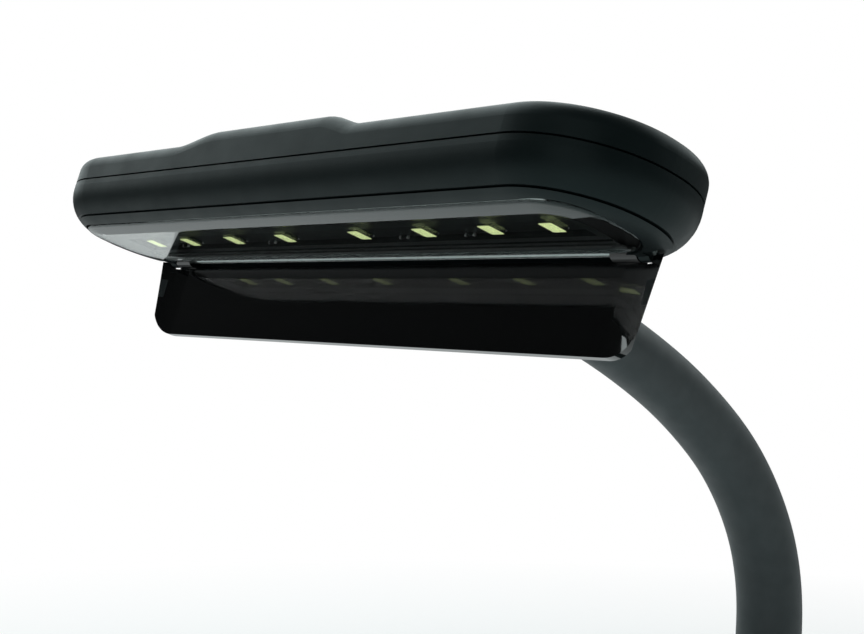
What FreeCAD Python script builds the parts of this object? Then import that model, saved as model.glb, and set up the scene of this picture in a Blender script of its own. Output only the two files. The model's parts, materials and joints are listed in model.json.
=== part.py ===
import FreeCAD, Part
import math
import os

# Clip on reading lamp: a long flat lamp head with a glare visor, a flexible
# neck and a battery clip.  Millimetres, +Z up.  The origin is the centre of
# the upper jaw's rubber face, the face that rests on a shelf.  The head's long
# side runs along X and the mouth of the clip opens toward -Y.
#
# The head is drawn level in its own frame first: x along the head, y toward
# the neck, z up, with z = 0 on its underside and y = 0 on the row of lights.
# The clip is drawn straight in the lamp's frame.

V = FreeCAD.Vector

# ---- driving dimensions: fits ----
GAP = 0.3                    # clearance between separate parts
RUN_FIT = 0.05               # radial clearance of a pin that turns

# ---- driving dimensions: head ----
HEAD_TILT = 18.7             # the neck side hangs lower, degrees
HEAD_LONG = 150.0
HEAD_FRONT = -16.55
HEAD_BACK = 17.25
HEAD_TALL = 13.1
HEAD_CORNER = 16.4           # plan radius of the four corners
UNDER_ROUND = 6.7            # large round along the bottom edge
TOP_ROUND = 2.7              # crisp round along the top edge
WALL = 1.8
CEILING = 11.5               # inside height of the top shell
UPPER_SEAM = 7.8             # groove between top shell and mid shell
LOWER_SEAM = 1.4             # groove between mid shell and bezel
BUMP_RISE = 1.85             # saddle on top of the head
BUMP_HALF = 15.5
BUMP_FOOT_LEFT = 29.0
BUMP_FOOT_RIGHT = 24.5

LENS_HALF = 69.0
LENS_FRONT = -11.4
LENS_BACK = 8.6
LENS_CORNER = 8.5
LENS_LOW = -0.4
LENS_THICK = 1.2
SEAT_TOP = 4.4               # top of the bezel's inner wall

LED_LONG = 3.5
LED_WIDE = 2.8
LED_TALL = 0.8
LED_FACE = 1.7
LED_PLACES = (10.6, 26.9, 42.2, 55.0)
BOARD_THICK = 1.2
BOARD_HALF = 60.0

BUTTON_X = 21.3
BUTTON_Y = -7.0
BUTTON_LONG = 7.6
BUTTON_WIDE = 9.0
BUTTON_FLANGE = 0.9
BUTTON_LOW = 9.2

# ---- driving dimensions: visor ----
PIN_Y = 10.7
PIN_Z = 1.1
PIN_R = 0.6
PIN_HALF = 64.8
KNUCKLE_IN = 57.6
KNUCKLE_OUT = 62.6
KNUCKLE_R = 1.5
VISOR_FACE = 11.2            # y of the polished face
VISOR_THICK = 1.5
VISOR_DROP = 14.35
VISOR_HALF = 67.9            # at its top corners
VISOR_LOW_HALF = 66.0        # at its lower edge
VISOR_END_THICK = 0.9
VISOR_TOP = -0.2             # top edge between the knuckles
LUG_OUT = 64.9               # the head's own knuckles, outside the visor's
LUG_SLOT = -0.75             # visor's top edge below those knuckles
EAR_TOP = 0.4                # visor's top corners, outside them
EAR_AT = 65.3
CHANNEL_BACK = 0.4           # extra room behind the knuckles for the outward swing
VISOR_FLAT = 59.5
VISOR_HOOK = 1.8             # how far the ends curl forward
VISOR_CORNER = 7.0
TAB_TOP = -3.2
TAB_TALL = 3.7
TAB_IN = 65.1

# ---- driving dimensions: neck ----
COLLAR_R = 6.9
COLLAR_LONG = 5.15
NECK_Z = 7.2                 # height of the neck's axis in the head
CORE_R = 3.4
BALL_R = 2.3
BALL_FIT = 0.1
STEM_R = 1.3
SHOULDER = 2.5               # how far a link's thick part stays from its ball
CUP_DEEP = 1.2               # how far a cup reaches past its ball's centre
SLEEVE_CUT = 1.15            # sleeve cut back on each side of a pivot
SLEEVE_BORE = 3.9
FERRULE = 7.0                # height of the lowest pivot above the clip
FERRULE_R = 8.4
# length, bend in degrees and sleeve radius of each link, from the clip upward
NECK_LINKS = (
    (28.0, -1.0, 7.15),
    (28.0, -1.0, 7.15),
    (24.0, 29.0, 7.05),
    (24.0, 21.5, 6.85),
    (24.0, 11.5, 6.60),
    (24.0, 7.0, 6.40),
    (24.0, 5.0, 6.25),
    (16.0, 4.5, 6.15),
)

# ---- driving dimensions: clip ----
PAD = 1.6                    # rubber pads on the jaws
PAD_HALF = 14.5
PAD_RIB = 3.4
PLATE = 3.4                  # upper jaw plate
CASE_HALF = 18.0
CASE_FRONT = -16.0
CASE_BACK = 62.0
CASE_TOP = 20.0
CASE_CORNER = 8.0
DOOR_HALF = 12.5
DOOR_BACK = 32.0
DOOR_THICK = 1.6
GRIP_RIBS = 5
CELL_R = 5.2                 # AAA cells
CELL_LONG = 42.5
CELL_LOW = 8.0
CELL_AT = -11.0
CRADLE_HALF = 11.4           # clears the screw posts
NECK_Y = 49.0                # where the neck stands on the case
MOUTH = 6.0                  # gap between the pads of the closed jaws
HINGE_Y = 38.0
HINGE_Z = -4.0
CLIP_PIN_R = 1.5
EAR_IN = 10.0
EAR_OUT = 13.4
EAR_R = 4.5
LEVER_THICK = 3.0
LEVER_END = 76.0
HANDLE_FALL = 11.0
SPRING_R = 3.2
SPRING_WIRE = 0.6
SPRING_TURNS = 5

os.makedirs("parts", exist_ok=True)
# ---- neck line ----
def heading(angle):
    return V(0, math.cos(math.radians(angle)), math.sin(math.radians(angle)))


def along_arc(start, angle, length, bend, distance):
    """Point and direction at a distance along an arc that bends evenly."""
    turned = bend * distance / length
    chord = distance
    if abs(turned) > 1e-6:
        chord = distance * math.sin(math.radians(turned / 2)) / math.radians(turned / 2)
    return start.add(heading(angle + turned / 2).multiply(chord)), angle + turned


pivots = [V(0, NECK_Y, CASE_TOP + FERRULE)]
angles = [90.0]
for length, bend, radius in NECK_LINKS:
    top, turned = along_arc(pivots[-1], angles[-1], length, bend, length)
    pivots.append(top)
    angles.append(turned)

# the head hangs on the neck's top pivot
HEAD_TURN = FreeCAD.Rotation(V(1, 0, 0), -HEAD_TILT)
HEAD_PIVOT = V(0, HEAD_BACK + COLLAR_LONG, NECK_Z)
HEAD_PLACE = FreeCAD.Placement(pivots[-1].sub(HEAD_TURN.multVec(HEAD_PIVOT)), HEAD_TURN)


# ---- helpers ----
def save(name, shape):
    if isinstance(shape, list):
        shape = Part.Compound(shape)
    shape.exportStep("parts/" + name + ".step")


def save_head(name, shape):
    """Write a node drawn in the head's frame, moved into the lamp's frame."""
    pieces = shape if isinstance(shape, list) else [shape]
    out = []
    for piece in pieces:
        piece = piece.copy()
        piece.Placement = HEAD_PLACE.multiply(piece.Placement)
        out.append(piece)
    save(name, out if len(out) > 1 else out[0])


def block(x0, x1, y0, y1, z0, z1):
    return Part.makeBox(x1 - x0, y1 - y0, z1 - z0, V(x0, y0, z0))


def slab(x0, x1, y0, y1, z0, z1, radius):
    """A box with its four upright edges rounded."""
    box = block(x0, x1, y0, y1, z0, z1)
    upright = [e for e in box.Edges if abs(e.tangentAt(e.FirstParameter).z) > 0.9]
    return box.makeFillet(radius, upright)


def rim_edges(shape, height):
    """Edges that lie flat at one height."""
    return [e for e in shape.Edges
            if abs(e.BoundBox.ZMin - height) < 1e-4 and abs(e.BoundBox.ZMax - height) < 1e-4]


def rod(radius, start, end):
    along = end.sub(start)
    return Part.makeCylinder(radius, along.Length, start, along)


def fuse(shapes):
    out = shapes[0]
    for other in shapes[1:]:
        out = out.fuse(other)
    return out.removeSplitter()


def inset(amount, z0, z1):
    """Slab that follows the head's outline at a distance inside it."""
    return slab(-HEAD_LONG / 2 + amount, HEAD_LONG / 2 - amount,
                HEAD_FRONT + amount, HEAD_BACK - amount,
                z0, z1, HEAD_CORNER - amount)


def lens_slab(grow, z0, z1):
    return slab(-LENS_HALF - grow, LENS_HALF + grow, LENS_FRONT - grow, LENS_BACK + grow,
                z0, z1, LENS_CORNER + grow)


# ---- head shells ----
def pillow(top):
    """The head's outer form up to a given height, all edges rounded."""
    body = inset(0, 0, top)
    body = body.makeFillet(UNDER_ROUND, rim_edges(body, 0))
    return body.makeFillet(TOP_ROUND, rim_edges(body, top))


def saddle_section(x, top):
    """Outline across the head at one place, its upper corners rounded."""
    side, low, r = HEAD_BACK, HEAD_TALL - TOP_ROUND - 0.5, TOP_ROUND
    slant = r * (1 - math.sqrt(0.5))
    corner = [V(x, side, top - r), V(x, side - slant, top - slant), V(x, side - r, top)]
    other = [V(x, HEAD_FRONT + HEAD_BACK - p.y, p.z) for p in reversed(corner)]
    return Part.Wire([
        Part.makeLine(V(x, side, low), corner[0]), Part.Arc(*corner).toShape(),
        Part.makeLine(corner[2], other[0]), Part.Arc(*other).toShape(),
        Part.makeLine(other[2], V(x, HEAD_FRONT, low)),
        Part.makeLine(V(x, HEAD_FRONT, low), V(x, side, low))])


def saddle():
    """Smooth raised form across the middle of the top."""
    steps = 8
    sections = []
    for step in range(steps + 1):
        t = step / steps
        rise = BUMP_RISE * t * t * (3 - 2 * t)
        x = BUMP_FOOT_LEFT + (BUMP_HALF - BUMP_FOOT_LEFT) * t
        sections.append(saddle_section(-x, HEAD_TALL + rise - 0.01))
    for step in range(steps, -1, -1):
        t = step / steps
        rise = BUMP_RISE * t * t * (3 - 2 * t)
        x = BUMP_FOOT_RIGHT + (BUMP_HALF - BUMP_FOOT_RIGHT) * t
        sections.append(saddle_section(x, HEAD_TALL + rise - 0.01))
    left = Part.makeLoft(sections[:steps + 1], True, False)
    middle = Part.makeLoft(sections[steps:steps + 2], True, True)
    right = Part.makeLoft(sections[steps + 1:], True, False)
    return fuse([left, middle, right])


head_form = pillow(HEAD_TALL)
top_form = head_form.fuse(saddle())
ceiling = inset(WALL, 0, CEILING)
narrow_room = inset(UNDER_ROUND - 2.3, 0, SEAT_TOP + GAP)

neck_hole = fuse([rod(COLLAR_R + 0.1, V(0, HEAD_BACK - 1.1, NECK_Z), V(0, HEAD_BACK + 6, NECK_Z)),
                  rod(CORE_R + 0.1, V(0, HEAD_BACK - 8, NECK_Z), V(0, HEAD_BACK, NECK_Z))])

# button outline, its cap follows the flank of the saddle
button_form = slab(BUTTON_X - BUTTON_LONG / 2, BUTTON_X + BUTTON_LONG / 2,
                   BUTTON_Y - BUTTON_WIDE / 2, BUTTON_Y + BUTTON_WIDE / 2,
                   BUTTON_LOW, HEAD_TALL + BUMP_RISE + 1, 3.0)
button_hole = slab(BUTTON_X - BUTTON_LONG / 2 - GAP, BUTTON_X + BUTTON_LONG / 2 + GAP,
                   BUTTON_Y - BUTTON_WIDE / 2 - GAP, BUTTON_Y + BUTTON_WIDE / 2 + GAP,
                   BUTTON_LOW, HEAD_TALL + BUMP_RISE + 1, 3.0 + GAP)

BOSS_R = 2.3
SCREW_R = 0.9
boss_spots = [(x, y) for x in (-40.0, 44.0) for y in (-9.0, 9.0)]

top_shell = top_form.cut(block(-80, 80, -20, 20, -1, UPPER_SEAM + GAP / 2))
top_shell = top_shell.cut(ceiling)
bosses = [rod(BOSS_R, V(x, y, 7.9), V(x, y, CEILING + 0.5)) for x, y in boss_spots]
top_shell = fuse([top_shell] + bosses)
for x, y in boss_spots:
    top_shell = top_shell.cut(rod(SCREW_R + RUN_FIT, V(x, y, 7), V(x, y, 11.3)))
top_shell = top_shell.cut(button_hole).cut(neck_hole)
save_head("top_shell", top_shell)

mid_shell = head_form.common(block(-80, 80, -20, 20, LOWER_SEAM + GAP / 2, UPPER_SEAM - GAP / 2))
mid_shell = mid_shell.cut(inset(WALL, SEAT_TOP, 9)).cut(narrow_room).cut(neck_hole)
CHANNEL = KNUCKLE_R + 0.35
channel = block(-KNUCKLE_OUT - GAP, KNUCKLE_OUT + GAP, PIN_Y - CHANNEL, PIN_Y + CHANNEL + CHANNEL_BACK,
                -2, PIN_Z + CHANNEL)
mid_shell = mid_shell.cut(channel)
save_head("mid_shell", mid_shell)

# ---- bezel, lens and lights ----
bezel = head_form.common(block(-80, 80, -20, 20, -1, LOWER_SEAM - GAP / 2))
bezel = fuse([bezel, inset(UNDER_ROUND - 2.0, LOWER_SEAM - 0.5, SEAT_TOP)])
bezel = bezel.cut(lens_slab(GAP, -1, LENS_LOW + LENS_THICK + 0.15))
bezel = bezel.cut(lens_slab(-1.0, -1, SEAT_TOP + 1))
bezel = bezel.cut(channel)
bezel = bezel.cut(rod(CORE_R + GAP, V(0, 0, NECK_Z), V(0, HEAD_BACK, NECK_Z)))
for side in (-1, 1):
    start, end = side * (KNUCKLE_OUT + GAP), side * LUG_OUT
    lug = rod(KNUCKLE_R, V(start, PIN_Y, PIN_Z), V(end, PIN_Y, PIN_Z))
    bezel = bezel.fuse(lug.common(block(-80, 80, -20, 20, -1, LOWER_SEAM - GAP / 2)))
    pocket = sorted((side * (LUG_OUT + 0.05), side * (VISOR_HALF + 0.6)))
    bezel = bezel.cut(block(pocket[0], pocket[1], 8.0, 13.2, -1, 1.5))
bezel = bezel.cut(rod(PIN_R + 0.02, V(-LUG_OUT - 1, PIN_Y, PIN_Z), V(LUG_OUT + 1, PIN_Y, PIN_Z)))
save_head("bezel", bezel)

lens = lens_slab(0, LENS_LOW, LENS_LOW + LENS_THICK)
lens = lens.makeChamfer(0.35, rim_edges(lens, LENS_LOW))
save_head("lens", lens)

tray_low = LENS_LOW + LENS_THICK + 0.75
tray_top = LED_FACE + LED_TALL
tray = lens_slab(-1.4, tray_low, tray_top)
tray = tray.cut(block(-BOARD_HALF - 1, BOARD_HALF + 1, -3.0, 3.0, 0, 5))
for y in (-6.2, 4.4, 5.9):
    tray = tray.cut(block(-LENS_HALF + 6, LENS_HALF - 6, y, y + 0.7, tray_low - 1, tray_low + 0.4))
save_head("light_tray", tray)

board_top = tray_top + BOARD_THICK
save_head("led_board", block(-BOARD_HALF, BOARD_HALF, -5.5, 5.5, tray_top, board_top))
leds = []
for place in LED_PLACES:
    for side in (-1, 1):
        x = side * place
        leds.append(block(x - LED_WIDE / 2, x + LED_WIDE / 2, -LED_LONG / 2, LED_LONG / 2,
                          LED_FACE, LED_FACE + LED_TALL))
save_head("leds", leds)
spreader = block(-BOARD_HALF, BOARD_HALF, -6.5, 6.5, board_top, board_top + 1.0)
save_head("heat_spreader", spreader)

driver_low = 6.6
driver = slab(-44, 48, -11.5, 11.5, driver_low, driver_low + 1.2, 1.5)
driver = driver.cut(block(-12, 12, 5.5, 12, 6, 9))
for x, y in boss_spots:
    driver = driver.cut(rod(SCREW_R + 0.2, V(x, y, 6), V(x, y, 9)))
save_head("driver_board", driver)
screws = []
for x, y in boss_spots:
    head = rod(1.8, V(x, y, driver_low - 1.2), V(x, y, driver_low))
    head = head.cut(block(x - 1.4, x + 1.4, y - 0.25, y + 0.25, 0, driver_low - 0.7))
    screws.append(head.fuse(rod(SCREW_R, V(x, y, driver_low), V(x, y, 11.0))))
save_head("board_screws", screws)
switch = block(BUTTON_X - 3, BUTTON_X + 3, BUTTON_Y - 3, BUTTON_Y + 3, driver_low + 1.2, 8.2)
switch = switch.fuse(rod(1.5, V(BUTTON_X, BUTTON_Y, 8.1), V(BUTTON_X, BUTTON_Y, 8.6)))
save_head("tact_switch", switch)

# ---- power button ----
flank = math.degrees(math.atan2(BUMP_RISE, BUMP_FOOT_RIGHT - BUMP_HALF))
lid = block(-20, 20, -20, 20, 0, 10)
lid.rotate(V(0, 0, 0), V(0, 1, 0), flank)
lid.translate(V(BUTTON_X, 0, HEAD_TALL + 0.5 * BUMP_RISE + 0.45))
button = button_form.cut(lid)
button = fuse([button, slab(BUTTON_X - BUTTON_LONG / 2 - BUTTON_FLANGE,
                            BUTTON_X + BUTTON_LONG / 2 + BUTTON_FLANGE,
                            BUTTON_Y - BUTTON_WIDE / 2 - BUTTON_FLANGE,
                            BUTTON_Y + BUTTON_WIDE / 2 + BUTTON_FLANGE,
                            BUTTON_LOW, CEILING - GAP - 0.9, 2.0)])
save_head("power_button", button)

# ---- visor and its pin ----
pin = rod(PIN_R, V(-PIN_HALF, PIN_Y, PIN_Z), V(PIN_HALF, PIN_Y, PIN_Z))
save_head("hinge_pin", pin)


def mirrored(points):
    """The same points on the other side of the middle plane, in order along X."""
    return [V(-p.x, p.y, p.z) for p in reversed(points)]


def smooth_curve(points):
    curve = Part.BSplineCurve()
    curve.interpolate(points)
    return curve.toShape()


def visor_plan(face, half):
    """Closed plan outline of the visor: flat middle, ends thinner and curled forward."""
    near = [V(VISOR_FLAT, face, 0), V((VISOR_FLAT + half) / 2, face - 0.35 * VISOR_HOOK, 0),
            V(half, face - VISOR_HOOK, 0)]
    thick = [VISOR_THICK, (VISOR_THICK + VISOR_END_THICK) / 2, VISOR_END_THICK]
    far = [V(p.x, p.y + t, 0) for p, t in zip(near, thick)]
    edges = [Part.makeLine(near[-1], far[-1]), Part.makeLine(mirrored(far)[0], mirrored(near)[0])]
    for side in (near, far):
        edges += [smooth_curve(side), smooth_curve(mirrored(side)),
                  Part.makeLine(mirrored(side)[-1], side[0])]
    return Part.Face(Part.Wire(Part.__sortEdges__(edges)))


def visor_leaf(face):
    """The visor's sheet with its shaped outline; face is the y of its polished side."""
    half_outline = [V(KNUCKLE_OUT, 5, VISOR_TOP), V(KNUCKLE_OUT, 5, LUG_SLOT), V(EAR_AT, 5, LUG_SLOT),
                    V(EAR_AT, 5, EAR_TOP), V(VISOR_HALF, 5, EAR_TOP), V(VISOR_LOW_HALF, 5, -VISOR_DROP)]
    outline = half_outline + mirrored(half_outline)
    form = Part.Face(Part.makePolygon(outline + [outline[0]])).extrude(V(0, 12, 0))
    lower = [e for e in form.Edges
             if abs(e.tangentAt(e.FirstParameter).y) > 0.9 and e.BoundBox.ZMax < -VISOR_DROP + 0.1]
    form = form.makeFillet(VISOR_CORNER, lower)
    leaf = visor_plan(face, VISOR_HALF).extrude(V(0, 0, VISOR_DROP + 2))
    leaf.translate(V(0, 0, -VISOR_DROP))
    leaf = leaf.common(form)
    # the ends slant inward toward the back
    tip = VISOR_FACE - VISOR_HOOK
    for side in (-1, 1):
        edge = [V(side * VISOR_HALF, tip, EAR_TOP + 0.1), V(side * 75, tip, EAR_TOP + 0.1),
                V(side * 75, tip, -VISOR_DROP - 1), V(side * VISOR_LOW_HALF, tip, -VISOR_DROP - 1)]
        slant = Part.Face(Part.makePolygon(edge + [edge[0]])).extrude(V(-4 * side, 4, 0))
        leaf = leaf.cut(slant)
    return leaf


leaf = visor_leaf(VISOR_FACE)
pieces = [leaf]
for side in (-1, 1):
    inner, outer = side * KNUCKLE_IN, side * KNUCKLE_OUT
    pieces.append(rod(KNUCKLE_R, V(inner, PIN_Y, PIN_Z), V(outer, PIN_Y, PIN_Z)))
    pieces.append(block(min(inner, outer), max(inner, outer), VISOR_FACE, VISOR_FACE + 1.0, -0.6, PIN_Z))
visor = fuse(pieces)
visor = visor.cut(rod(PIN_R + RUN_FIT, V(-70, PIN_Y, PIN_Z), V(70, PIN_Y, PIN_Z)))
tabs = []
for side in (-1, 1):
    x0, x1 = sorted((side * TAB_IN, side * VISOR_HALF))
    tabs.append(leaf.common(block(x0, x1, 5, VISOR_FACE + 0.2, TAB_TOP - TAB_TALL, TAB_TOP)))
for tab in tabs:
    visor = visor.cut(tab)
save_head("visor", visor)
save_head("visor_tabs", tabs)

# ---- neck ----
# Every link carries a cup at its lower end and a ball at its upper end.


def tube(start, angle, length, bend, near, far, radius):
    """Solid round bar that follows part of an arc."""
    first, first_dir = along_arc(start, angle, length, bend, near)
    middle, _ = along_arc(start, angle, length, bend, (near + far) / 2)
    last, _ = along_arc(start, angle, length, bend, far)
    path = Part.Wire([Part.Arc(first, middle, last).toShape()])
    ring = Part.Wire([Part.makeCircle(radius, first, heading(first_dir))])
    return path.makePipeShell([ring], True, True)


def cup_hollow(pivot, outward):
    """Space for a ball and its stem; outward points away from the bar."""
    ball = Part.makeSphere(BALL_R + BALL_FIT, pivot)
    return ball.fuse(rod(BALL_R - 0.2, pivot, pivot.add(outward * (CUP_DEEP + 1))))


def ball_end(pivot, outward, reach):
    """Ball at a pivot on a thin stem that comes from behind."""
    stem = rod(STEM_R, pivot.sub(outward * reach), pivot)
    return stem.fuse(Part.makeSphere(BALL_R, pivot))


for number, (length, bend, radius) in enumerate(NECK_LINKS, 1):
    foot, angle = pivots[number - 1], angles[number - 1]
    top, top_dir = pivots[number], heading(angles[number])
    down = heading(angle) * -1
    skin = tube(foot, angle, length, bend, SLEEVE_CUT, length - SLEEVE_CUT, radius)
    skin = skin.cut(tube(foot, angle, length, bend, 0.2, length - 0.2, SLEEVE_BORE))
    core = tube(foot, angle, length, bend, -CUP_DEEP, length - SHOULDER, CORE_R)
    core = core.cut(cup_hollow(foot, down))
    core = fuse([core, ball_end(top, top_dir, SHOULDER + 0.6)])
    save("neck_core_%d" % number, core)
    save("neck_sleeve_%d" % number, skin)

# socket and collar in the back of the head
tip = V(0, HEAD_BACK + COLLAR_LONG, NECK_Z)
socket = rod(CORE_R, V(0, HEAD_BACK - 7.5, NECK_Z), tip.add(V(0, CUP_DEEP, 0)))
socket = socket.cut(cup_hollow(tip, V(0, 1, 0)))
socket = fuse([socket, block(-7, 7, HEAD_BACK - 7.5, HEAD_BACK - 6.0, SEAT_TOP + GAP, 6.2)])
collar = rod(COLLAR_R, V(0, HEAD_BACK - 1.0, NECK_Z), tip.sub(V(0, SLEEVE_CUT, 0)))
collar = collar.makeChamfer(0.5, [e for e in collar.Edges if e.BoundBox.YMin > tip.y - 2])
collar = collar.cut(rod(CORE_R + RUN_FIT, V(0, 0, NECK_Z), V(0, 40, NECK_Z)))

# ---- clip ----
case_slab = slab(-CASE_HALF, CASE_HALF, CASE_FRONT, CASE_BACK, PAD, CASE_TOP, CASE_CORNER)
plate_top = PAD + PLATE
screw_spots = [(-14.2, 21.0), (14.2, 21.0), (-12.0, 55.0), (12.0, 55.0)]

ears = []
for side in (-1, 1):
    x0, x1 = sorted((side * EAR_IN, side * EAR_OUT))
    ear = rod(EAR_R, V(x0, HINGE_Y, HINGE_Z), V(x1, HINGE_Y, HINGE_Z))
    ears.append(ear.fuse(block(x0, x1, HINGE_Y - EAR_R, HINGE_Y + EAR_R, HINGE_Z, PAD + 0.5)))
plate = fuse([case_slab.common(block(-30, 30, -60, 60, PAD, plate_top))] + ears)
plate = plate.cut(rod(CLIP_PIN_R, V(-20, HINGE_Y, HINGE_Z), V(20, HINGE_Y, HINGE_Z)))
for x, y in screw_spots:
    plate = plate.cut(rod(1.5, V(x, y, 0), V(x, y, 9)))
    plate = plate.cut(rod(2.8, V(x, y, 0), V(x, y, PAD + 1.4)))
plate = plate.cut(rod(CORE_R + 1, V(0, NECK_Y, plate_top - 1.5), V(0, NECK_Y, plate_top + 1)))
save("clip_plate", plate)

case = case_slab.common(block(-30, 30, -60, 60, plate_top + 0.1, CASE_TOP))
case = case.makeFillet(3.0, rim_edges(case, CASE_TOP))
room = slab(-CASE_HALF + 1.8, CASE_HALF - 1.8, CASE_FRONT + 1.8, CASE_BACK - 1.8,
            plate_top, CASE_TOP - 1.8, CASE_CORNER - 1.8)
case_outside = case
case = case.cut(room)
case = fuse([case] + [rod(2.4, V(x, y, plate_top + 0.1), V(x, y, CASE_TOP - 1.5)) for x, y in screw_spots])
for x, y in screw_spots:
    case = case.cut(rod(1.25, V(x, y, 0), V(x, y, CASE_TOP - 4)))
case = case.cut(rod(CORE_R + 0.05, V(0, NECK_Y, 10), V(0, NECK_Y, 30)))
door_low = CASE_TOP - DOOR_THICK
case = case.cut(block(-DOOR_HALF - GAP, DOOR_HALF + GAP, -60, DOOR_BACK + GAP, door_low - GAP, 40))
case = case.cut(block(-DOOR_HALF - 1.3, DOOR_HALF + 1.3, -60, DOOR_BACK + GAP, door_low + 0.1, door_low + 0.9))
save("battery_case", case)

door = case_outside.common(block(-DOOR_HALF, DOOR_HALF, -60, DOOR_BACK, door_low, 40))
tongue = block(-DOOR_HALF - 1.0, DOOR_HALF + 1.0, CASE_FRONT + 3, DOOR_BACK, door_low + 0.2, door_low + 0.7)
door = fuse([door, tongue])
for step in range(GRIP_RIBS):
    y = CASE_FRONT + 10.0 + 2.0 * step
    door = door.cut(rod(0.5, V(-5, y, CASE_TOP + 0.2), V(5, y, CASE_TOP + 0.2)))
save("battery_door", door)

cells = []
for x in (-5.6, 5.6):
    z = plate_top + 1.2 + CELL_R
    cell = rod(CELL_R, V(x, CELL_AT, z), V(x, CELL_AT + CELL_LONG, z))
    cells.append(cell.fuse(rod(1.9, V(x, CELL_AT, z), V(x, CELL_AT + CELL_LONG + 0.9, z))))
save("battery_cells", cells)
cradle = block(-CRADLE_HALF, CRADLE_HALF, CELL_AT - 1.0, CELL_AT + CELL_LONG + 2.0, plate_top + 0.3, plate_top + 5.0)
for cell_x in (-5.6, 5.6):
    cradle = cradle.cut(rod(CELL_R + 0.15, V(cell_x, -60, plate_top + 1.2 + CELL_R),
                            V(cell_x, 60, plate_top + 1.2 + CELL_R)))
save("battery_cradle", cradle)
contacts = []
for x in (-5.6, 5.6):
    for y in (CELL_AT - 1.6, CELL_AT + CELL_LONG + 2.1):
        contacts.append(block(x - 4, x + 4, y, y + 0.4, plate_top + 0.4, plate_top + 10))
save("battery_contacts", contacts)

clip_screws = []
for x, y in screw_spots:
    head = rod(2.5, V(x, y, PAD + 0.1), V(x, y, PAD + 1.4))
    head = head.cut(block(x - 2, x + 2, y - 0.3, y + 0.3, 0, PAD + 0.7))
    clip_screws.append(head.fuse(rod(1.2, V(x, y, PAD + 1.4), V(x, y, 14))))
save("clip_screws", clip_screws)

neck_foot = pivots[0]
stud = rod(CORE_R, V(0, NECK_Y, 10.5), V(0, NECK_Y, neck_foot.z - SHOULDER))
stud = fuse([stud, rod(5.5, V(0, NECK_Y, 16.4), V(0, NECK_Y, CASE_TOP - 1.9)),
             ball_end(neck_foot, V(0, 0, 1), SHOULDER + 0.6)])
save("neck_stud", stud)
ferrule = rod(FERRULE_R, V(0, NECK_Y, CASE_TOP), V(0, NECK_Y, neck_foot.z - SLEEVE_CUT))
ferrule = ferrule.makeFillet(1.2, rim_edges(ferrule, neck_foot.z - SLEEVE_CUT))
ferrule = ferrule.cut(rod(SLEEVE_BORE, V(0, NECK_Y, CASE_TOP - 1), V(0, NECK_Y, neck_foot.z)))
save("neck_ferrule", ferrule)


def jaw_pad(low, high, ribs_at):
    """Rubber jaw pad with grooves across the face that grips."""
    pad = slab(-15.5, 15.5, -PAD_HALF, PAD_HALF, low, high, 6.5)
    for step in range(6):
        y = (step - 2.5) * PAD_RIB
        pad = pad.cut(rod(0.6, V(-20, y, ribs_at), V(20, y, ribs_at)))
    return pad


save("case_pad", jaw_pad(0, PAD, -0.2))
lever_top = -MOUTH - PAD
save("lever_pad", jaw_pad(-MOUTH - PAD, -MOUTH, -MOUTH + 0.2))

lever_low = lever_top - LEVER_THICK
jaw = slab(-16.5, 16.5, CASE_FRONT, 40, lever_low, lever_top, 7.0)
jaw = jaw.common(block(-20, 20, -40, HINGE_Y + 5, -20, 0))
side_view = Part.makePolygon([
    V(-13.5, HINGE_Y + 4, lever_top), V(-13.5, LEVER_END, lever_top - HANDLE_FALL),
    V(-13.5, LEVER_END, lever_low - HANDLE_FALL), V(-13.5, HINGE_Y + 4, lever_low),
    V(-13.5, HINGE_Y + 4, lever_top)])
handle = Part.Face(side_view).extrude(V(27, 0, 0))
handle_ends = [e for e in handle.Edges if e.BoundBox.YMin > LEVER_END - 0.1
               and abs(e.tangentAt(e.FirstParameter).z) > 0.9]
handle = handle.makeFillet(7.0, handle_ends)
lugs = []
for side in (-1, 1):
    x0, x1 = sorted((side * 6.2, side * (EAR_IN - GAP)))
    lug = rod(EAR_R - 0.6, V(x0, HINGE_Y, HINGE_Z), V(x1, HINGE_Y, HINGE_Z))
    lugs.append(lug.fuse(block(x0, x1, HINGE_Y - EAR_R + 0.6, HINGE_Y + EAR_R - 0.6, lever_top - 1, HINGE_Z)))
lever = fuse([jaw, handle] + lugs)
lever = lever.cut(rod(CLIP_PIN_R + RUN_FIT, V(-20, HINGE_Y, HINGE_Z), V(20, HINGE_Y, HINGE_Z)))
for side in (-1, 1):
    x0, x1 = sorted((side * (EAR_IN - GAP), side * (EAR_OUT + GAP)))
    lever = lever.cut(block(x0, x1, HINGE_Y - EAR_R - 1.2, HINGE_Y + EAR_R + 1.2, lever_top - 1.6, 0))
save("clip_lever", lever)
save("clip_pin", rod(CLIP_PIN_R, V(-EAR_OUT - 0.6, HINGE_Y, HINGE_Z), V(EAR_OUT + 0.6, HINGE_Y, HINGE_Z)))

pitch = 2 * SPRING_WIRE + 0.35
coil = Part.makeHelix(pitch, pitch * SPRING_TURNS, SPRING_R - SPRING_WIRE)
wire_end = Part.Wire([Part.makeCircle(SPRING_WIRE, V(SPRING_R - SPRING_WIRE, 0, 0), V(0, 1, 0))])
spring = Part.Wire(coil.Edges).makePipeShell([wire_end], True, True)
spring.rotate(V(0, 0, 0), V(0, 1, 0), 90)
spring.translate(V(-pitch * SPRING_TURNS / 2, HINGE_Y, HINGE_Z))
save("clip_spring", spring)

save_head("neck_socket", socket)
save_head("neck_collar", collar)
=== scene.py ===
import json
import math

import bmesh
import bpy
from mathutils import Matrix, Vector


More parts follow.
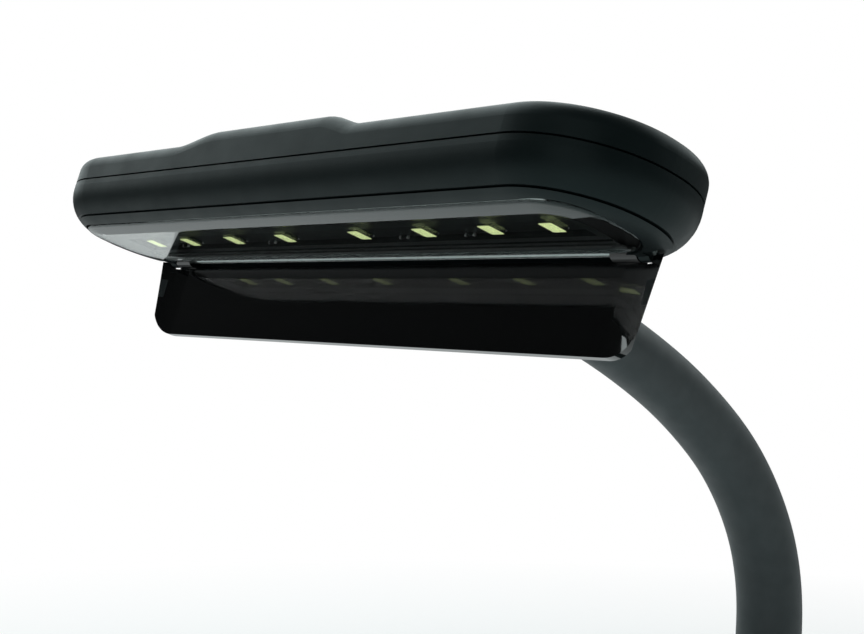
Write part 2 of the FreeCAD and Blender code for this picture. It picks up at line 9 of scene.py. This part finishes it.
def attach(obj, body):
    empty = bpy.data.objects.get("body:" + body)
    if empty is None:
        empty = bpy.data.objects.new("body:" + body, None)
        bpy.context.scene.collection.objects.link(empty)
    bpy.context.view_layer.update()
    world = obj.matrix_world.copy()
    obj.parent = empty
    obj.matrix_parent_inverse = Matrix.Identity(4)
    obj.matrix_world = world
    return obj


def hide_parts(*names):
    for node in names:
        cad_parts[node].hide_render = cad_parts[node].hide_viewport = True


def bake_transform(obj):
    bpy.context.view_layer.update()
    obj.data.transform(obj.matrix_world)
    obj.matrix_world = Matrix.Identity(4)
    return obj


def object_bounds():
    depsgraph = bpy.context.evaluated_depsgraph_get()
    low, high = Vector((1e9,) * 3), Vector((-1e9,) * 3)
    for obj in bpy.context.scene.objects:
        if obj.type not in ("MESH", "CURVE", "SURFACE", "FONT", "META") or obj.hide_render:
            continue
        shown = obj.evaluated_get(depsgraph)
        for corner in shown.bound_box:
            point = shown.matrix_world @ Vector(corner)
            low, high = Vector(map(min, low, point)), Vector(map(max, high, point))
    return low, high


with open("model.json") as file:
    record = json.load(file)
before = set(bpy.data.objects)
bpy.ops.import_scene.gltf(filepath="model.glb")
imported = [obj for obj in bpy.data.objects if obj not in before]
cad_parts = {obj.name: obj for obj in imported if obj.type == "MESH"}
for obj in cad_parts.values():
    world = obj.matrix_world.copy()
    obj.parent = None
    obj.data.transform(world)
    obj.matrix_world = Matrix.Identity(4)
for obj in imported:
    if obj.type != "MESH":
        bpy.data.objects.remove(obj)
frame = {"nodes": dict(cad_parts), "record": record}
cad_low, cad_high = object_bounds()

# ---- the head's own frame: x along the head, y toward the neck, z up, in millimetres ----
MM = 0.001
HEAD_TILT = 18.7             # degrees
VISOR_PIN_IN_HEAD = Vector((0, 10.7, 1.1))
joints = {joint["name"]: joint for joint in frame["record"]["behaviour"]["joints"]}
head_turn = Matrix.Rotation(math.radians(-HEAD_TILT), 4, "X")
visor_pin = Vector(joints["visor_hinge"]["pos_m"])
head_origin = visor_pin - head_turn.to_3x3() @ (VISOR_PIN_IN_HEAD * MM)
HEAD = Matrix.Translation(head_origin) @ head_turn @ Matrix.Scale(MM, 4)
LAMP = Matrix.Scale(MM, 4)


# ---- materials ----
NOISE_SPAN = (0.3, 0.7)      # noise seldom leaves this span


class Surface:
    """A node material around one principled shader."""

    def __init__(self, name, colour, rough, metal=0.0, **sockets):
        self.material = bpy.data.materials.new(name)
        self.material.use_nodes = True
        self.tree = self.material.node_tree
        self.shader = self.tree.nodes["Principled BSDF"]
        self.shader.inputs["Base Color"].default_value = (*colour, 1)
        self.shader.inputs["Roughness"].default_value = rough
        self.shader.inputs["Metallic"].default_value = metal
        for socket, value in sockets.items():
            self.shader.inputs[socket.replace("_", " ")].default_value = value
        self.place = self.node("ShaderNodeTexCoord").outputs["Object"]
        self.height = None

    def node(self, kind, **values):
        made = self.tree.nodes.new(kind)
        for key, value in values.items():
            if key in made.inputs:
                made.inputs[key].default_value = value
            else:
                setattr(made, key, value)
        return made

    def link(self, out, into):
        self.tree.links.new(out, into)

    def noise(self, size_mm, detail=3.0, stretch=(1, 1, 1)):
        """Noise whose blobs are about size_mm across, stretched along the axes."""
        mapping = self.node("ShaderNodeMapping")
        mapping.inputs["Scale"].default_value = [1 / (s * size_mm * MM) for s in stretch]
        self.link(self.place, mapping.inputs["Vector"])
        noise = self.node("ShaderNodeTexNoise", Scale=1.0, Detail=detail)
        self.link(mapping.outputs["Vector"], noise.inputs["Vector"])
        return noise.outputs["Fac"]

    def map_range(self, value, from_span, to_span):
        span = self.node("ShaderNodeMapRange")
        sockets = ("From Min", "From Max", "To Min", "To Max")
        for socket, limit in zip(sockets, (*from_span, *to_span)):
            span.inputs[socket].default_value = limit
        self.link(value, span.inputs["Value"])
        return span.outputs["Result"]

    def vary_rough(self, size_mm, low, high, stretch=(1, 1, 1)):
        noise = self.noise(size_mm, 4.0, stretch)
        self.link(self.map_range(noise, NOISE_SPAN, (low, high)), self.shader.inputs["Roughness"])
        return self

    def vary_colour(self, size_mm, first, second, detail=3.0):
        mix = self.node("ShaderNodeMix", data_type="RGBA")
        mix.inputs[6].default_value = (*first, 1)
        mix.inputs[7].default_value = (*second, 1)
        noise = self.noise(size_mm, detail)
        self.link(self.map_range(noise, NOISE_SPAN, (0, 1)), mix.inputs[0])
        self.link(mix.outputs[2], self.shader.inputs["Base Color"])
        return self

    def bump(self, size_mm, depth_mm, detail=2.0, stretch=(1, 1, 1)):
        """Adds a bump of this depth on top of the ones already there."""
        made = self.node("ShaderNodeBump", Strength=1.0, Distance=depth_mm * MM)
        self.link(self.noise(size_mm, detail, stretch), made.inputs["Height"])
        if self.height:
            self.link(self.height, made.inputs["Normal"])
        self.height = made.outputs["Normal"]
        self.link(self.height, self.shader.inputs["Normal"])
        return self


COOL = (0.74, 1.0, 1.0, 1.0)     # tint of moulded plastic's highlights


def moulded(name, colour, rough, grain_mm=0.22, depth_mm=0.008):
    """Moulded plastic: fine spark-eroded grain, slight sink and handling marks."""
    lighter = tuple(c * 1.25 + 0.001 for c in colour)
    made = Surface(name, colour, rough, Specular_IOR_Level=0.2, Specular_Tint=COOL)
    made.vary_colour(9.0, colour, lighter).vary_rough(6.0, rough - 0.04, rough + 0.05)
    return made.bump(12.0, 0.02, 1.0).bump(grain_mm, depth_mm).material


def steel(name, colour, rough, brushed=(1, 1, 1)):
    """Bare metal with fine marks, drawn out along an axis where it is brushed."""
    made = Surface(name, colour, rough, 1.0)
    made.vary_rough(0.6, rough - 0.05, rough + 0.1, brushed)
    return made.bump(0.25, 0.003, 3.0, brushed).material


def glossy(name, colour, rough):
    """Polished plastic with a faint haze of fine wipe marks."""
    made = Surface(name, colour, rough, Coat_Weight=0.3, Coat_Roughness=0.02)
    made.vary_rough(2.5, max(rough - 0.015, 0.01), rough + 0.03, (6, 1, 1))
    return made.bump(25.0, 0.0004, 1.0).material


SHELL = (0.0032, 0.0062, 0.0066)
looks = {
    "shell_black": moulded("shell_black", SHELL, 0.44),
    "tray_black": moulded("tray_black", (0.010, 0.012, 0.012), 0.36),
    "board_black": moulded("board_black", (0.012, 0.014, 0.014), 0.42, 0.4, 0.01),
    "clip_black": moulded("clip_black", SHELL, 0.38, 0.35, 0.014),
    "collar_grey": moulded("collar_grey", (0.013, 0.016, 0.017), 0.42),
    "tab_grey": moulded("tab_grey", (0.016, 0.019, 0.020), 0.40, 0.2),
    "button_white": moulded("button_white", (0.80, 0.82, 0.83), 0.30, 0.3, 0.004),
    "circuit_green": moulded("circuit_green", (0.010, 0.075, 0.028), 0.35, 0.5, 0.02),
    "visor_gloss": glossy("visor_gloss", (0.0022, 0.0026, 0.0028), 0.03),
    "aluminium": steel("aluminium", (0.72, 0.73, 0.75), 0.34, (8, 1, 1)),
    "steel": steel("steel", (0.56, 0.57, 0.58), 0.28),
    "polished_steel": steel("polished_steel", (0.36, 0.41, 0.40), 0.24, (10, 1, 1)),
    "contact_brass": steel("contact_brass", (0.78, 0.60, 0.28), 0.28),
}
rubber = Surface("sleeve_rubber", (0.030, 0.043, 0.046), 0.62, Sheen_Weight=0.15,
                 Sheen_Roughness=0.5)
rubber.vary_colour(5.0, (0.027, 0.039, 0.042), (0.034, 0.048, 0.051))
rubber.vary_rough(3.0, 0.56, 0.68)
looks["sleeve_rubber"] = rubber.bump(7.0, 0.03, 1.0).bump(0.25, 0.012).material
pad = Surface("pad_rubber", (0.020, 0.021, 0.022), 0.8, Sheen_Weight=0.2)
pad.vary_colour(3.0, (0.018, 0.019, 0.020), (0.030, 0.031, 0.032)).vary_rough(2.0, 0.72, 0.88)
looks["pad_rubber"] = pad.bump(0.3, 0.03).material
# unlit LED phosphor with a faint emission of its own: painted light standing in for the lamp
# light that the clear lens keeps off it
phosphor_painted_glow = Surface("led_phosphor", (0.86, 0.93, 0.36), 0.45, Emission_Strength=1.05)
phosphor_painted_glow.shader.inputs["Emission Color"].default_value = (0.80, 0.92, 0.44, 1)
phosphor_painted_glow.vary_colour(0.15, (0.80, 0.88, 0.32), (0.90, 0.95, 0.44))
looks["led_phosphor"] = phosphor_painted_glow.bump(0.12, 0.01).material
clear = Surface("lens_clear", (0.93, 0.97, 0.96), 0.015, Transmission_Weight=1.0, IOR=1.49,
                Specular_Tint=(0.82, 1.0, 1.0, 1.0))
looks["lens_clear"] = clear.bump(9.0, 0.0006, 1.0).material
wrap = Surface("cell_wrap", (0.05, 0.20, 0.12), 0.28, 0.4, Coat_Weight=0.4)
looks["cell_wrap"] = wrap.vary_rough(3.0, 0.22, 0.34).bump(5.0, 0.01).material
looks["led_body"] = moulded("led_body", (0.022, 0.026, 0.022), 0.45, 0.2, 0.003)
looks["solder_tin"] = steel("solder_tin", (0.66, 0.67, 0.68), 0.32)


# ---- mesh helpers ----
WELD = 1e-7                  # metres; points closer than this become one
LEAST_CORNER = 0.3           # millimetres; an outline drawn in keeps at least this radius


def piece(name, verts, faces, look, body, place=HEAD, slot=None, smooth=40):
    """Closed mesh piece from points in millimetres.

    Edges sharper than `smooth` degrees stay crisp. It rides `body`, or none if that is None.
    """
    mesh = bpy.data.meshes.new(name)
    mesh.from_pydata([place @ Vector(v) for v in verts], [], faces)
    made = bmesh.new()
    made.from_mesh(mesh)
    bmesh.ops.remove_doubles(made, verts=made.verts, dist=WELD)
    bmesh.ops.recalc_face_normals(made, faces=made.faces)
    for face in made.faces:
        face.smooth = True
    for edge in made.edges:
        if len(edge.link_faces) == 2 and edge.calc_face_angle(0) > math.radians(smooth):
            edge.smooth = False
    made.to_mesh(mesh)
    made.free()
    mesh.materials.append(looks[look])
    obj = bpy.data.objects.new(name, mesh)
    bpy.context.scene.collection.objects.link(obj)
    if body:
        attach(obj, body)
    return obj


def stack(rings, loop=False):
    """Skins a list of equally long point rings; a loop's ends are joined up, others closed."""
    count = len(rings[0])
    verts = [point for ring in rings for point in ring]
    faces = []
    spans = len(rings) if loop else len(rings) - 1
    for row in range(spans):
        low, high = row * count, ((row + 1) % len(rings)) * count
        for i in range(count):
            j = (i + 1) % count
            faces.append((low + i, low + j, high + j, high + i))
    if not loop:
        faces.append(tuple(reversed(range(count))))
        faces.append(tuple(range((len(rings) - 1) * count, len(rings) * count)))
    return verts, faces


def joined(parts):
    """One vertex and face list from several."""
    verts, faces = [], []
    for part_verts, part_faces in parts:
        base = len(verts)
        verts += part_verts
        faces += [tuple(base + i for i in face) for face in part_faces]
    return verts, faces


def rounded_outline(half, front, rear, radius, inset, steps=14):
    """Points round a rectangle with rounded corners, drawn in by inset."""
    points = []
    r = max(radius - inset, LEAST_CORNER)
    x, y0, y1 = half - inset - r, front + inset + r, rear - inset - r
    for cx, cy, start in ((x, y0, -90), (x, y1, 0), (-x, y1, 90), (-x, y0, 180)):
        for step in range(steps + 1):
            a = math.radians(start + 90 * step / steps)
            points.append((cx + r * math.cos(a), cy + r * math.sin(a)))
    return points


def turned(outline_at, levels):
    """Solid from (inset, z) levels of one outline."""
    return stack([[(x, y, z) for x, y in outline_at(inset)] for inset, z in levels])


def soft_box(x0, x1, y0, y1, z0, z1, edge, corner=None):
    """Box with rounded corners in plan and softened top and bottom edges."""
    cx, cy = (x0 + x1) / 2, (y0 + y1) / 2
    radius = corner or edge * 1.5

    def outline(inset):
        flat = rounded_outline((x1 - x0) / 2, y0 - cy, y1 - cy, radius, inset, 5)
        return [(cx + x, cy + y) for x, y in flat]

    return turned(outline, [
        (edge, z0), (edge * 0.3, z0 + edge * 0.3), (0, z0 + edge),
        (0, z1 - edge), (edge * 0.3, z1 - edge * 0.3), (edge, z1)])


# ---- CAD nodes that keep their shape ----
node_slots = {row["node"]: row["material_slot"] for row in frame["record"]["subparts"]}
for name, node in frame["nodes"].items():
    node.data.materials.clear()
    node.data.materials.append(looks[node_slots[name]])

# ---- lens: flat in the middle, its border rising to a polished edge ----
LENS_HALF, LENS_FRONT, LENS_BACK, LENS_CORNER = 69.0, -11.4, 8.6, 8.5
LENS_LEVELS = [              # inset and height of each ring
    (3.7, -0.40), (3.4, -0.395), (3.2, -0.375), (0.75, -0.03), (0.45, 0.02), (0.2, 0.12),
    (0.05, 0.25), (0, 0.38), (0, 0.66), (0.08, 0.74), (0.2, 0.80), (3.7, 0.80)]


def lens_outline(inset):
    return rounded_outline(LENS_HALF, LENS_FRONT, LENS_BACK, LENS_CORNER, inset)


lens = piece("lens_moulding", *turned(lens_outline, LENS_LEVELS), "lens_clear", "head",
             slot="lens_clear", smooth=30)
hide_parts("lens")

# ---- light packages: a dark cup round a phosphor window ----
LED_X = [side * place for place in (10.6, 26.9, 42.2, 55.0) for side in (-1, 1)]
LED_HALF_X, LED_HALF_Y, LED_LOW, LED_HIGH, LED_CORNER = 1.4, 1.75, 1.7, 2.5, 0.16
CUP_LEVELS = [
    (0.0, LED_HIGH), (0.0, LED_LOW + 0.08), (0.02, LED_LOW + 0.03), (0.05, LED_LOW + 0.03),
    (0.19, LED_LOW + 0.3)]
WINDOW_LEVELS = [(0.2, LED_LOW + 0.2), (0.06, LED_LOW + 0.02), (0.08, LED_LOW + 0.005)]
PAD_OUT, PAD_HALF_X, PAD_HALF_Y, PAD_TALL, PAD_EDGE, PAD_CORNER = 0.35, 1.0, 0.32, 0.12, 0.04, 0.1
RESISTOR_X = (-48.5, -18.7, 18.7, 34.5)
RESISTOR_HALF, RESISTOR_FRONT, RESISTOR_BACK, RESISTOR_TALL = 0.8, 2.6, 3.4, 0.45
CAP_AT, CAP_HALF, CAP_FRONT, CAP_BACK, CAP_TALL = 0.95, 0.17, 2.58, 3.42, 0.47
RESISTOR_EDGE = 0.05
cups, windows, pads, resistors, ends = [], [], [], [], []
for x in LED_X:
    def outline(inset, x=x):
        flat = rounded_outline(LED_HALF_X, -LED_HALF_Y, LED_HALF_Y, LED_CORNER, inset, 3)
        return [(x + px, py) for px, py in flat]

    cups.append(turned(outline, CUP_LEVELS))
    windows.append(turned(outline, WINDOW_LEVELS))
    for side in (-1, 1):
        y = side * (LED_HALF_Y + PAD_OUT)
        pads.append(soft_box(x - PAD_HALF_X, x + PAD_HALF_X, y - PAD_HALF_Y, y + PAD_HALF_Y,
                             LED_HIGH - PAD_TALL, LED_HIGH, PAD_EDGE, PAD_CORNER))
for x in RESISTOR_X:
    resistors.append(soft_box(x - RESISTOR_HALF, x + RESISTOR_HALF, RESISTOR_FRONT, RESISTOR_BACK,
                              LED_HIGH - RESISTOR_TALL, LED_HIGH, RESISTOR_EDGE))
    for side in (-1, 1):
        ends.append(soft_box(x + side * CAP_AT - CAP_HALF, x + side * CAP_AT + CAP_HALF,
                             CAP_FRONT, CAP_BACK, LED_HIGH - CAP_TALL, LED_HIGH, RESISTOR_EDGE))
led_cups = piece("led_cups", *joined(cups), "led_body", "head", slot="led_phosphor")
led_windows = piece("led_windows", *joined(windows), "led_phosphor", "head", slot="led_phosphor")
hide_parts("leds")
piece("led_solder", *joined(pads), "solder_tin", "head", slot="steel")
piece("board_resistors", *joined(resistors), "board_black", "head", slot="board_black")
piece("board_resistor_ends", *joined(ends), "solder_tin", "head", slot="steel")

# ---- neck: one smooth sleeve in nine pieces, cut in the middle of each link ----
# each piece takes in the pivot between its two cuts; the pieces ride no body
NECK_LINKS = (               # length, bend in degrees and sleeve radius, from the clip upward
    (28.0, -1.0, 7.15), (28.0, -1.0, 7.15), (24.0, 29.0, 7.05), (24.0, 21.5, 6.85),
    (24.0, 11.5, 6.60), (24.0, 7.0, 6.40), (24.0, 5.0, 6.25), (16.0, 4.5, 6.15))
SLEEVE_BORE = 3.9
FOOT_REACH = 2.2             # into the ferrule, below the first pivot
HEAD_REACH = 1.5             # into the collar, beyond the last pivot
AROUND = 72                  # points round the sleeve
STATION_EVERY, LEAST_STATIONS = 0.8, 8

neck_joints = ["neck_1_nod", "neck_2_sway", "neck_3_nod", "neck_4_sway", "neck_5_nod",
               "neck_6_sway", "neck_7_nod", "neck_8_sway", "head_nod"]
pivots = [Vector(joints[name]["pos_m"]) / MM for name in neck_joints]
pivot_at = [0.0]
for link in NECK_LINKS:
    pivot_at.append(pivot_at[-1] + link[0])
NECK_LONG = pivot_at[-1]


def neck_angle(s):
    """Direction of the neck at distance s from its first pivot, in degrees from +Y."""
    if s > NECK_LONG:
        return 180 - HEAD_TILT
    angle = 90.0
    for start, (length, bend, _) in zip(pivot_at, NECK_LINKS):
        angle += bend * min(max((s - start) / length, 0), 1)
    return angle


def neck_radius(s):
    """Sleeve radius, eased between the links' middles."""
    middles = [start + link[0] / 2 for start, link in zip(pivot_at, NECK_LINKS)]
    radii = [link[2] for link in NECK_LINKS]
    if s <= middles[0]:
        return radii[0]
    for a, b, low, high in zip(middles, middles[1:], radii, radii[1:]):
        if s <= b:
            return low + (high - low) * (s - a) / (b - a)
    return radii[-1]


STEP = 0.25                  # between samples of the centre line
RUN_IN = 4.0                 # sampled beyond each end
AVERAGE_STEPS = 8            # each side of a point
samples = [(-RUN_IN, pivots[0] + Vector((0, 0, -RUN_IN)))]
while samples[-1][0] < NECK_LONG + RUN_IN:
    s, point = samples[-1]
    a = math.radians(neck_angle(s + STEP / 2))
    samples.append((s + STEP, point + Vector((0, math.cos(a), math.sin(a))) * STEP))


def neck_point(s):
    """Centre line, averaged over a few millimetres so that no kink shows."""
    middle = (s + RUN_IN) / STEP
    reach = min(AVERAGE_STEPS, int(middle), len(samples) - 2 - int(middle))
    total, weight = Vector(), 0.0
    for offset in range(-reach, reach + 1):
        low = int(middle) + offset
        share = middle - int(middle)
        total += samples[low][1].lerp(samples[low + 1][1], share)
        weight += 1
    return total / weight


def neck_ahead(s, reach):
    """Direction of the centre line at s, taken between the points reach before and after it."""
    return (neck_point(s + reach) - neck_point(s - reach)).normalized()


def neck_ring(s, radius):
    """Points round the neck, square to its centre line."""
    ahead = neck_ahead(s, 0.2)
    across, centre = ahead.cross(Vector((1, 0, 0))), neck_point(s)
    return [centre + Vector((1, 0, 0)) * radius * math.cos(a) + across * radius * math.sin(a)
            for a in (2 * math.pi * i / AROUND for i in range(AROUND))]


link_middles = [(a + b) / 2 for a, b in zip(pivot_at, pivot_at[1:])]
cuts = [-FOOT_REACH] + link_middles + [NECK_LONG + HEAD_REACH]
for number, (low, high) in enumerate(zip(cuts, cuts[1:])):
    count = max(LEAST_STATIONS, round((high - low) / STATION_EVERY))
    stations = [low + (high - low) * i / count for i in range(count + 1)]
    outside = [neck_ring(s, neck_radius(s)) for s in stations]
    inside = [neck_ring(s, SLEEVE_BORE) for s in reversed(stations)]
    sleeve = piece("neck_sleeve_skin_%d" % number, *stack(outside + inside, loop=True),
                   "sleeve_rubber", None, LAMP, slot="sleeve_rubber", smooth=50)
    ahead = neck_ahead(pivot_at[number], 1)
    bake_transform(sleeve)
    if number < len(NECK_LINKS):
        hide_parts("neck_sleeve_%d" % (number + 1))

# ---- stage, in metres: a pale floor fading into a white dome ----
STUDIO_RADIUS = 3.0
FLOOR_SIDES = 96
FLOOR_DROP = 0.0005
FADE_SPAN = (0.20, 0.70)     # distance from the origin over which the floor turns white
floor_z = cad_low.z - FLOOR_DROP
rim = []
for i in range(FLOOR_SIDES):
    a = 2 * math.pi * i / FLOOR_SIDES
    rim.append((STUDIO_RADIUS * math.cos(a), STUDIO_RADIUS * math.sin(a), floor_z))
floor_mesh = bpy.data.meshes.new("studio_floor")
floor_mesh.from_pydata(rim, [], [tuple(range(FLOOR_SIDES))])
floor = bpy.data.objects.new("studio_floor", floor_mesh)
paper = Surface("studio_paper", (0.86, 0.865, 0.865), 0.9, Specular_IOR_Level=0.0)
distance = paper.node("ShaderNodeVectorMath", operation="LENGTH")
paper.link(paper.place, distance.inputs[0])
fade = paper.map_range(distance.outputs["Value"], FADE_SPAN, (0.0, 1.0))
glow = paper.node("ShaderNodeEmission", Strength=1.0)
faded = paper.node("ShaderNodeMixShader")
paper.link(fade, faded.inputs["Fac"])
paper.link(paper.shader.outputs["BSDF"], faded.inputs[1])
paper.link(glow.outputs["Emission"], faded.inputs[2])
paper.link(faded.outputs["Shader"], paper.tree.nodes["Material Output"].inputs["Surface"])
floor_mesh.materials.append(paper.material)
bpy.context.scene.collection.objects.link(floor)

dome_mesh = bpy.data.meshes.new("studio_dome")
dome_shape = bmesh.new()
bmesh.ops.create_icosphere(dome_shape, subdivisions=4, radius=STUDIO_RADIUS)
dome_shape.to_mesh(dome_mesh)
dome_shape.free()
dome = bpy.data.objects.new("studio_dome", dome_mesh)
white = bpy.data.materials.new("studio_white")
white.use_nodes = True
white.node_tree.nodes.clear()
lamp_node = white.node_tree.nodes.new("ShaderNodeEmission")
out_node = white.node_tree.nodes.new("ShaderNodeOutputMaterial")
white.node_tree.links.new(lamp_node.outputs["Emission"], out_node.inputs["Surface"])
dome_mesh.materials.append(white)
bpy.context.scene.collection.objects.link(dome)
floor.visible_glossy = False
dome.visible_glossy = False
dome.visible_diffuse = False
dome.visible_shadow = False

# the room that gloss mirrors, graded by height alone: bright below, dark round the sides
# and at the level of the eye, dim above
world = bpy.data.worlds.new("studio_room")
bpy.context.scene.world = world
world.use_nodes = True
room = world.node_tree
direction = room.nodes.new("ShaderNodeTexCoord")
parts = room.nodes.new("ShaderNodeSeparateXYZ")
room.links.new(direction.outputs["Generated"], parts.inputs["Vector"])
levels = room.nodes.new("ShaderNodeValToRGB")
half = room.nodes.new("ShaderNodeMath")      # -1..1 to 0..1
half.operation = "MULTIPLY_ADD"
half.inputs[1].default_value = 0.5
half.inputs[2].default_value = 0.5
room.links.new(parts.outputs["Z"], half.inputs[0])
room.links.new(half.outputs["Value"], levels.inputs["Fac"])
ramp = levels.color_ramp
ramp.elements[0].position, ramp.elements[0].color = 0.0, (0.78, 0.86, 0.86, 1)
ramp.elements[1].position, ramp.elements[1].color = 1.0, (0.16, 0.18, 0.18, 1)
SIDE_STOPS = ((0.38, 0.70), (0.46, 0.08), (0.50, 0.03), (0.74, 0.03), (0.86, 0.12))
for position, grey in SIDE_STOPS:
    element = ramp.elements.new(position)
    element.color = (grey * 0.94, grey, grey, 1)
room.links.new(levels.outputs["Color"], room.nodes["Background"].inputs["Color"])


# ---- lights and camera ----
def softbox(name, place, aim, size, power, tint=(1, 1, 1)):
    """Rectangular light at a place in metres, size in metres and power in watts."""
    light = bpy.data.lights.new(name, "AREA")
    light.shape, light.size, light.size_y = "RECTANGLE", size[0], size[1]
    light.energy, light.color = power, tint
    made = bpy.data.objects.new(name, light)
    made.location = place
    made.rotation_euler = (Vector(aim) - Vector(place)).to_track_quat("-Z", "Y").to_euler()
    bpy.context.scene.collection.objects.link(made)


aim = head_origin
softbox("key_above_left", (-0.75, 0.10, 0.80), aim, (1.3, 1.3), 11.0, (0.90, 1, 1))
softbox("rim_behind", (0.15, 0.95, 0.75), aim, (1.2, 0.7), 4.0, (0.92, 1, 1))
softbox("fill_front", (0.55, -0.9, 0.55), aim, (0.8, 0.8), 1.2)

# the camera's place in millimetres and its axes, both in the head's own frame
EYE = Vector((204.58, -135.49, -54.95))
RIGHT = Vector((0.6401, 0.7238, 0.2576))
DOWN = Vector((0.0193, 0.3201, -0.9472))
AHEAD = Vector((-0.7681, 0.6112, 0.1909))
turn = head_turn.to_3x3()
axes = Matrix((turn @ RIGHT, -(turn @ DOWN), -(turn @ AHEAD))).transposed()
camera = bpy.data.objects.new("camera", bpy.data.cameras.new("camera"))
camera.data.sensor_width = 36.0
camera.data.lens = 62.5
camera.data.clip_start, camera.data.clip_end = 0.01, 50
camera.matrix_world = Matrix.Translation(HEAD @ EYE) @ axes.to_4x4()
bpy.context.scene.collection.objects.link(camera)
bpy.context.scene.camera = camera
bpy.context.scene.view_settings.view_transform = "Standard"
